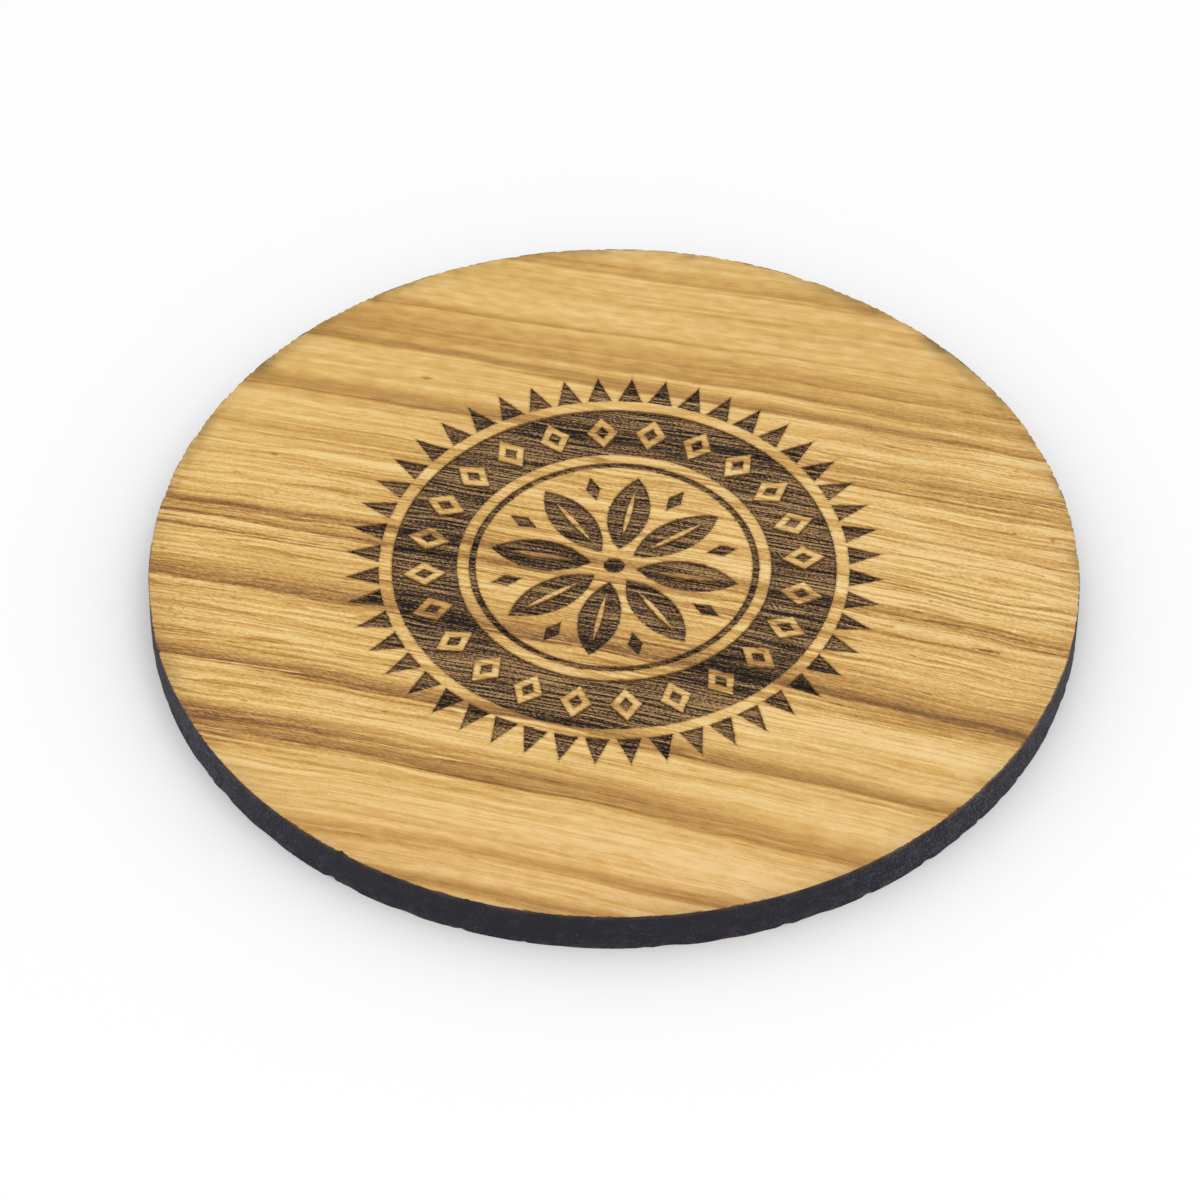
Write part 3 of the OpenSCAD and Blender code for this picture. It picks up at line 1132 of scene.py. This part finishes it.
def face_finish(groups):
    """Bare face of the coaster, with ragged burns and a brown halo beside the ornament."""
    material, n, shader = new_material("oak_face")
    place = position_mm(n)
    focus = face_focus(n, place)
    flow, dark, streaks = oak_grain(n, groups, place, "face bands", 0.0, focus)
    flaws = flaw_darkness(n, groups, place, streaks)
    oak = n.group(groups["oak"], Position=place, Dark=dark, Flaws=flaws, Focus=focus, **streaks)
    burnt = n.group(groups["burnt"], Flow=flow, Dark=dark, Line=streaks["Line"])
    away = n.group(groups["ornament"], Position=place)["Distance"]
    ragged = weigh(n, away, ((n.noise(flow, (1.5, 0.14), 1.0), 0.5, 0.55), (streaks["Grit"], 0.5, 0.15)))
    halo = n.math("MULTIPLY", n.remap(ragged, *HALO), 0.40)
    colour = n.blend(halo, oak["Color"], tint("#8F6838"))
    colour = n.blend(n.remap(ragged, *BURN_BORDER), colour, burnt["Color"])
    stains = face_stains(n, place, flow)
    rim = n.group(groups["rim"], Position=place, Flow=flow, Color=colour, **stains)
    dress_oak(n, shader, oak, rim["Color"])
    return material


def back_finish(groups):
    """Bare back of the coaster, cut from another part of the veneer."""
    material, n, shader = new_material("oak_back")
    place = position_mm(n)
    flow, dark, streaks = oak_grain(n, groups, place, "back bands", 1.0, 1.0)
    oak = n.group(groups["oak"], Position=place, Dark=dark, Flaws=0.0, Focus=1.0, **streaks)
    rim = n.group(
        groups["rim"], Position=place, Flow=flow, Color=oak["Color"], Clouds=1.0, Smoke=0.0, Dirt=0.0)
    dress_oak(n, shader, oak, rim["Color"])
    return material


def burnt_finish(groups):
    """Floors of the burnt recesses, with painted shade along the walls, a few spared fibres and painted
    glints.
    """
    material, n, shader = new_material("burnt_oak")
    place = position_mm(n)
    flow, dark, streaks = oak_grain(n, groups, place, "face bands", 0.0, 1.0)
    burnt = n.group(groups["burnt"], Flow=flow, Dark=dark, Line=streaks["Line"])
    away = n.group(groups["ornament"], Position=place)["Distance"]
    # Darker band inside the recess along its walls: painted shade
    outline = n.math("MULTIPLY", n.remap(away, *BURN_WALL_SHADE), 0.12)
    colour = n.blend(outline, burnt["Color"], tint("#1C1410"))
    fibres = n.remap(n.noise(flow, (1.3, 0.13), 1.0), 0.57, 0.66)
    spared = n.math("MULTIPLY", n.remap(away, *SPARED_FIBRES), fibres)
    colour = n.blend(n.math("MULTIPLY", spared, 0.65), colour, tint("#A98350"))
    # Painted glints on the burnt floor
    glints = n.math("MULTIPLY", streaks["Glint"], 0.30)
    n.feed(shader.inputs["Base Color"], n.blend(glints, colour, tint("#A58560")))
    shader.inputs["Specular IOR Level"].default_value = 0.12
    shader.inputs["Roughness"].default_value = 0.65
    n.feed(shader.inputs["Normal"], n.bump(burnt["Relief"], BURNT_RELIEF * MM))
    return material


def wall_finish(groups):
    """Walls of the recesses: scorched tan at the top, speckled, and darker down at the floor as painted
    shade.
    """
    material, n, shader = new_material("scorched_wall")
    place = position_mm(n)
    _, _, height = n.axes(place)
    flow = n.group(groups["flow"], Position=place, Sheet=0.0)["Flow"]
    streaks = n.group(groups["streaks"], Flow=flow, Sheet=0.0)
    speck = n.noise(place, (0.2, 0.2, 0.1), 2.0, flat=False)
    # Darker towards the recess floor: painted shade in the recess
    down = n.remap(height, FACE_Z, FACE_Z - BURN_DEPTH, 0.05, 0.60, "LINEAR")
    tone = weigh(n, down, ((streaks["Line"], 0.5, 0.8), (speck, 0.5, 1.2), (streaks["Fibre"], 0.5, 0.7)))
    n.feed(shader.inputs["Base Color"], n.ramp(tone, (
        (0.0, "#B58B58"), (0.35, "#8C673F"), (0.7, "#543B29"), (1.0, "#241913"))))
    shader.inputs["Specular IOR Level"].default_value = 0.2
    shader.inputs["Roughness"].default_value = 0.65
    n.feed(shader.inputs["Normal"], n.bump(speck, WALL_RELIEF * MM))
    return material


def char_finish():
    """The cut edge: blue-grey char, warmer along the veneers, more mottled to the left and right, and paler
    at the bottom with painted light from the floor.
    """
    material, n, shader = new_material("charred_edge")
    place = position_mm(n)
    x, _, height = n.axes(place)
    streak = n.noise(place, (0.30, 0.30, 7.0), 2.0, flat=False)
    blot = n.noise(place, (1.7, 1.7, 1.3), 3.0, flat=False)
    speck = n.noise(place, (0.24, 0.24, 0.24), 2.0, flat=False)
    # Paler towards the bottom: painted light, as if from the bright floor below
    pale = n.remap(height, CHAR_FLOOR_LIGHT_BELOW, 0.0, 0.42, 0.62)
    aside = n.math("DIVIDE", n.math("SUBTRACT", x, CHAR_CALM_X), CHAR_CALM_REACH)
    aside = n.math("POWER", n.math("ABSOLUTE", aside), 5.0)
    blotted = n.math("MULTIPLY", n.math("SUBTRACT", blot, 0.5), n.math("MULTIPLY_ADD", aside, 2.6, 0.6))
    speckled = n.math("MULTIPLY", n.math("SUBTRACT", speck, 0.5), n.math("MULTIPLY_ADD", aside, 7.0, 0.9))
    mottled = n.math("ADD", blotted, speckled)
    tone = n.math("ADD", mottled, weigh(n, pale, ((streak, 0.5, 0.06),)))
    colour = n.ramp(tone, ((0.0, "#08070C"), (0.5, "#1A1722"), (1.0, "#403D4C")))
    ragged = weigh(n, height, ((streak, 0.5, 0.3), (speck, 0.5, 0.3)))
    veneer = n.remap(ragged, LOW["face_veneer"], FACE_Z - CHAR_WARM_TOP)
    warm = n.math("MULTIPLY", veneer, n.remap(blot, 0.38, 0.58, 0.2, 0.65))
    colour = n.blend(warm, colour, tint("#4A3A2E"))
    lighter = n.math("MULTIPLY", warm, n.remap(x, *CHAR_LIGHT_X, 0.0, 0.5))
    colour = n.blend(lighter, colour, tint("#8A6A48"))
    low_rim = n.math("MULTIPLY", n.remap(ragged, CHAR_WARM_LINE, 0.0), n.remap(blot, 0.45, 0.62))
    colour = n.blend(low_rim, colour, tint("#6B4024"))
    dust = n.remap(n.noise(place, (0.22, 0.22, 0.22), 0.0, flat=False), 0.82, 0.90)
    colour = n.blend(n.math("MULTIPLY", dust, 0.4), colour, tint("#8C8C96"))
    n.feed(shader.inputs["Base Color"], colour)
    shader.inputs["Specular IOR Level"].default_value = 0.3
    shader.inputs["Roughness"].default_value = 0.7
    n.feed(shader.inputs["Normal"], n.bump(mottled, CHAR_RELIEF * MM))
    return material


def glue_finish():
    material, n, shader = new_material("dried_glue")
    place = position_mm(n)
    cloud = n.noise(place, (4.0, 4.0, 4.0), 3.0, flat=False)
    n.feed(shader.inputs["Base Color"], n.ramp(cloud, ((0.3, "#B9A274"), (0.7, "#D6C49A"))))
    n.feed(shader.inputs["Roughness"], n.remap(cloud, 0.3, 0.7, 0.3, 0.5, "LINEAR"))
    return material


def board_finish():
    material, n, shader = new_material("dark_fibreboard")
    place = position_mm(n)
    fibre = n.noise(place, (0.4, 0.4, 0.2), 3.0, flat=False)
    n.feed(shader.inputs["Base Color"], n.ramp(fibre, ((0.3, "#2C2930"), (0.7, "#413D45"))))
    n.feed(shader.inputs["Normal"], n.bump(fibre, BOARD_RELIEF * MM))
    shader.inputs["Roughness"].default_value = 0.85
    return material


# Stage


def floor_finish():
    material, _, shader = new_material("white_table")
    shader.inputs["Base Color"].default_value = tint("#FCFCFC")
    shader.inputs["Roughness"].default_value = 0.9
    return material


def lay_floor():
    bpy.ops.mesh.primitive_plane_add(size=FLOOR_SIZE_M, location=(0, 0, -FLOOR_DROP * MM))
    floor = bpy.context.object
    floor.name = "floor"
    floor.data.materials.append(floor_finish())


def soft_lamp(name, place, size, power):
    """A square softbox that faces the disc."""
    data = bpy.data.lights.new(name, "AREA")
    data.size = size
    data.energy = power
    lamp = bpy.data.objects.new(name, data)
    lamp.location = place
    lamp.rotation_mode = "QUATERNION"
    lamp.rotation_quaternion = Vector(place).to_track_quat("Z", "Y")
    bpy.context.scene.collection.objects.link(lamp)


def light_studio():
    world = bpy.data.worlds.new("studio")
    world.use_nodes = True
    backdrop = world.node_tree.nodes["Background"]
    backdrop.inputs["Color"].default_value = (1, 1, 1, 1)
    n = Nodes(world.node_tree)
    ray = n.add("LightPath").outputs
    direct = n.math("ADD", ray["Is Camera Ray"], ray["Is Glossy Ray"])
    seen = n.math("ADD", direct, ray["Is Transmission Ray"], clamp=True)
    n.feed(backdrop.inputs["Strength"], n.between(seen, WORLD_LIGHT, 1.0))
    bpy.context.scene.world = world
    soft_lamp("softbox", SOFTBOX_PLACE_M, SOFTBOX_SIZE_M, SOFTBOX_WATTS)


def place_camera():
    """The photograph's viewpoint, worked out from the two curves of the rim."""
    data = bpy.data.cameras.new("camera")
    data.sensor_width = VIEW_SENSOR
    data.lens = VIEW_LENS
    data.clip_start = 0.01
    data.clip_end = 20.0
    camera = bpy.data.objects.new("camera", data)
    away = Vector((math.sin(VIEW_TURN) * math.cos(VIEW_RISE),
                   -math.cos(VIEW_TURN) * math.cos(VIEW_RISE), math.sin(VIEW_RISE)))
    camera.location = (Vector(VIEW_AIM) + away * VIEW_DISTANCE) * MM
    camera.rotation_mode = "QUATERNION"
    camera.rotation_quaternion = (away.to_track_quat("Z", "Y").to_matrix()
                                  @ Matrix.Rotation(VIEW_ROLL, 3, "Z")).to_quaternion()
    bpy.context.scene.collection.objects.link(camera)
    bpy.context.scene.camera = camera


def build():
    ribs = ribs_group()
    band = growth_band_group()
    groups = {
        "flow": grain_flow_group(),
        "face bands": growth_bands_group("face_growth_bands", FACE_BANDS, band),
        "back bands": growth_bands_group("back_growth_bands", BACK_BANDS, band),
        "streaks": oak_streaks_group(ribs),
        "flaw": short_flaw_group(),
        "oak": bare_oak_group(),
        "rim": cut_rim_group(),
        "burnt": burnt_wood_group(ribs),
        "ornament": ornament_distance_group(),
    }
    char = char_finish()
    glue = glue_finish()
    panel = cut_panel()
    engraved_face(panel, face_finish(groups), burnt_finish(groups), wall_finish(groups), char)
    glue_film(panel, "face_glue_line", "face_glue_film", glue, char)
    fibreboard_core(panel, board_finish(), char)
    glue_film(panel, "back_glue_line", "back_glue_film", glue, char)
    plain_back(panel, back_finish(groups), char)
    bpy.data.objects.remove(panel)


bpy.context.scene.view_settings.view_transform = "Standard"
place_camera()
light_studio()
lay_floor()
build()
